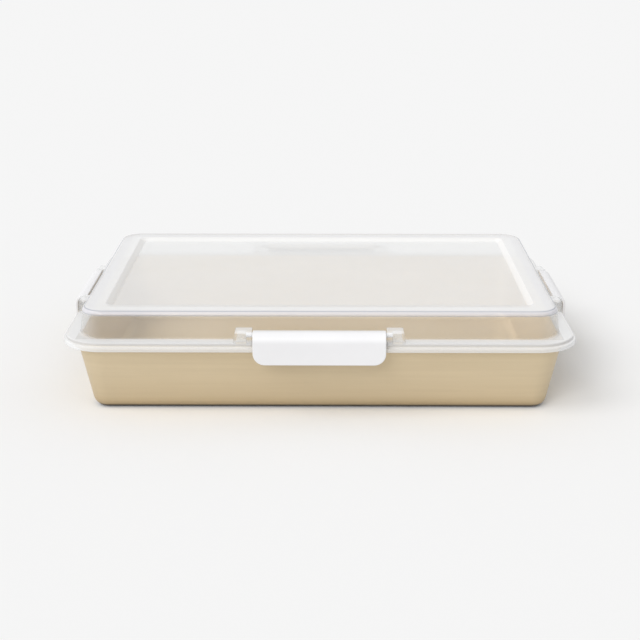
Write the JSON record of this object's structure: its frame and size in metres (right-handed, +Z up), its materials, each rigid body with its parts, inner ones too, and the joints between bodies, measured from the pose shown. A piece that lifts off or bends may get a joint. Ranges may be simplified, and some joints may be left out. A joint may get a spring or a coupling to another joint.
{
  "type": "cake pan with lid",
  "caption": "Rectangular cake pan with a rolled rim and a clear domed lid, held on by hinged snap latches along its sides.",
  "frame": {"origin": "middle of the pan's underside", "axes": "+X along the long side, +Z up out of the pan, -Y towards the front latch"},
  "size_m": [0.354, 0.2524, 0.0714],
  "materials": {
    "pan_coating": "satin champagne non-stick coating on steel",
    "lid_plastic": "clear, slightly frosted",
    "latch_plastic": "white, satin"
  },
  "bodies": {
    "pan": {"pan": "pan_coating"},
    "lid": {"lid": "lid_plastic"},
    "latch_front": {"latch_front": "latch_plastic"},
    "latch_right": {"latch_right": "latch_plastic"},
    "latch_rear": {"latch_rear": "latch_plastic"},
    "latch_left": {"latch_left": "latch_plastic"}
  },
  "joints": [
    {"name": "lid_lift", "type": "slide", "parent": "pan", "child": "lid", "axis": [0, 0, 1], "range_m": [0, 0.12]},
    {"name": "latch_front_hinge", "type": "hinge", "parent": "lid", "child": "latch_front", "pos_m": [0, -0.1195, 0.058], "axis": [-1, 0, 0], "range_deg": [0, 180]},
    {"name": "latch_right_hinge", "type": "hinge", "parent": "lid", "child": "latch_right", "pos_m": [0.1703, 0, 0.058], "axis": [0, -1, 0], "range_deg": [0, 180]},
    {"name": "latch_rear_hinge", "type": "hinge", "parent": "lid", "child": "latch_rear", "pos_m": [0, 0.1195, 0.058], "axis": [1, 0, 0], "range_deg": [0, 180]},
    {"name": "latch_left_hinge", "type": "hinge", "parent": "lid", "child": "latch_left", "pos_m": [-0.1703, 0, 0.058], "axis": [0, 1, 0], "range_deg": [0, 180]}
  ]
}
